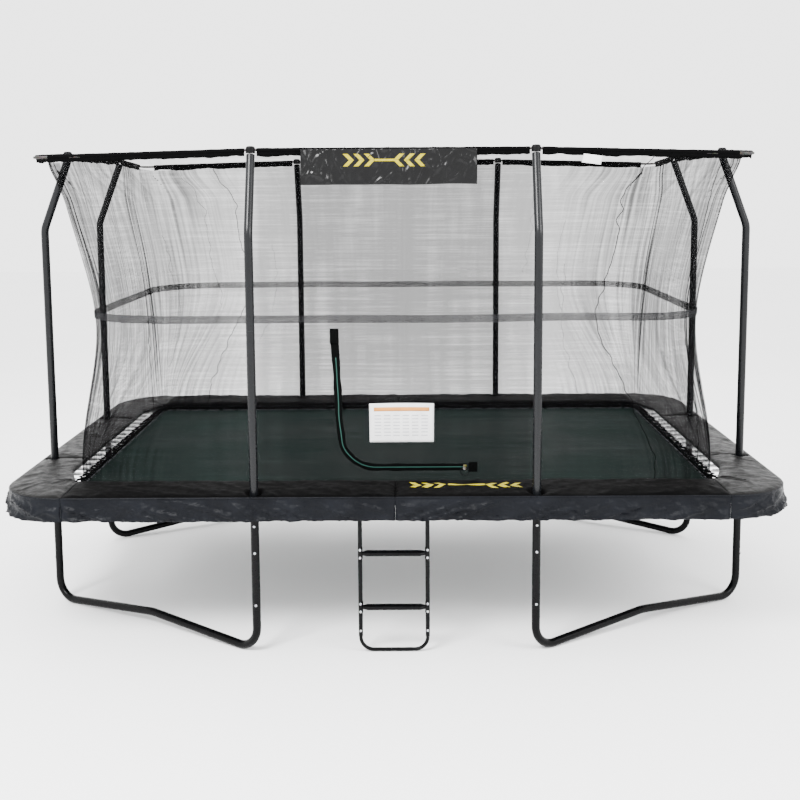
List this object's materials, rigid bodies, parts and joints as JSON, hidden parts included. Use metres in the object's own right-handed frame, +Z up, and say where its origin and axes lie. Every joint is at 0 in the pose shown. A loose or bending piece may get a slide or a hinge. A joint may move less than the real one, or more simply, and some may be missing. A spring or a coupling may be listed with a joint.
{
  "type": "trampoline",
  "caption": "rectangular garden trampoline with sprung jumping mat, padded frame, bent enclosure poles, safety net with zip door, and a hook-on ladder",
  "frame": {"origin": "on the ground under the centre of the frame", "axes": "+X along the long side to the right, +Y from the ladder side to the back, +Z up"},
  "size_m": [4.72, 3.196, 3.0039],
  "materials": {
    "leg_paint": "gloss black powder coat on steel tube",
    "pole_paint": "satin charcoal powder coat on steel tube",
    "ladder_paint": "gloss black powder coat",
    "cap_plastic": "moulded black plastic",
    "rod_steel": "dull galvanised rod",
    "spring_steel": "bright zinc plated wire",
    "bolt_zinc": "bright zinc plated",
    "mat_fabric": "woven polypropylene, dark green-black",
    "webbing": "sewn webbing",
    "pad_cover": "coated woven cover, slightly shiny",
    "net_mesh": "open knitted mesh",
    "zip_tape": "black tape with a green tooth line",
    "zip_metal": "bright cast metal",
    "pull_plastic": "black cord loop",
    "banner_vinyl": "creased glossy black sheet",
    "paper": "laminated white card with an orange heading bar"
  },
  "bodies": {
    "root": {"banner": "banner_vinyl", "frame_corner_back_left": "leg_paint", "frame_corner_back_right": "leg_paint", "frame_corner_front_left": "leg_paint", "frame_corner_front_right": "leg_paint", "frame_rail_back_left": "leg_paint", "frame_rail_back_right": "leg_paint", "frame_rail_front_left": "leg_paint", "frame_rail_front_right": "leg_paint", "frame_rail_left": "leg_paint", "frame_rail_right": "leg_paint", "leg_base_back_left": "leg_paint", "leg_base_back_right": "leg_paint", "leg_base_front_left": "leg_paint", "leg_base_front_right": "leg_paint", "leg_bolts": "bolt_zinc", "leg_posts_back_left": "leg_paint", "leg_posts_back_right": "leg_paint", "leg_posts_front_left": "leg_paint", "leg_posts_front_right": "leg_paint", "lower_poles_back": "pole_paint", "lower_poles_front": "pole_paint", "lower_poles_left": "pole_paint", "lower_poles_right": "pole_paint", "net_back": "net_mesh", "net_front": "net_mesh", "net_left": "net_mesh", "net_right": "net_mesh", "pad_back_left": "pad_cover", "pad_back_right": "pad_cover", "pad_corner_back_left": "pad_cover", "pad_corner_back_right": "pad_cover", "pad_corner_front_left": "pad_cover", "pad_corner_front_right": "pad_cover", "pad_front_left": "pad_cover", "pad_front_right": "pad_cover", "pad_left": "pad_cover", "pad_right": "pad_cover", "placard": "paper", "pole_caps": "cap_plastic", "springs": "spring_steel", "top_rod_back": "rod_steel", "top_rod_corners": "rod_steel", "top_rod_front": "rod_steel", "top_rod_left": "rod_steel", "top_rod_right": "rod_steel", "upper_poles_back": "pole_paint", "upper_poles_front": "pole_paint", "upper_poles_left": "pole_paint", "upper_poles_right": "pole_paint", "zip_tape": "zip_tape"},
    "mat": {"jump_mat": "mat_fabric", "mat_border": "webbing", "mat_rings": "spring_steel"},
    "ladder": {"ladder_rails": "ladder_paint", "ladder_steps": "ladder_paint", "ladder_foot": "ladder_paint", "ladder_bolts": "bolt_zinc"},
    "zip_slider_body": {"zip_slider": "zip_metal"},
    "zip_pull_body": {"zip_pull": "pull_plastic"}
  },
  "joints": [
    {"name": "mat_bounce", "type": "slide", "parent": "root", "child": "mat", "axis": [0, 0, 1], "range_m": [-0.12, 0.008], "stiffness_N_per_m": 4200, "springref_m": 0.03, "deforming": ["springs"]},
    {"name": "ladder_swing", "type": "hinge", "parent": "root", "child": "ladder", "pos_m": [-0.012, -1.475, 0.915], "axis": [1, 0, 0], "range_deg": [-25, 0]},
    {"name": "zip_slide", "type": "slide", "parent": "mat", "child": "zip_slider_body", "axis": [1, 0, 0], "range_m": [-0.42, 0]},
    {"name": "zip_pull_swing", "type": "hinge", "parent": "zip_slider_body", "child": "zip_pull_body", "pos_m": [0.425, -1.2166, 1.0493], "axis": [1, 0, 0], "range_deg": [-170, 0]}
  ]
}
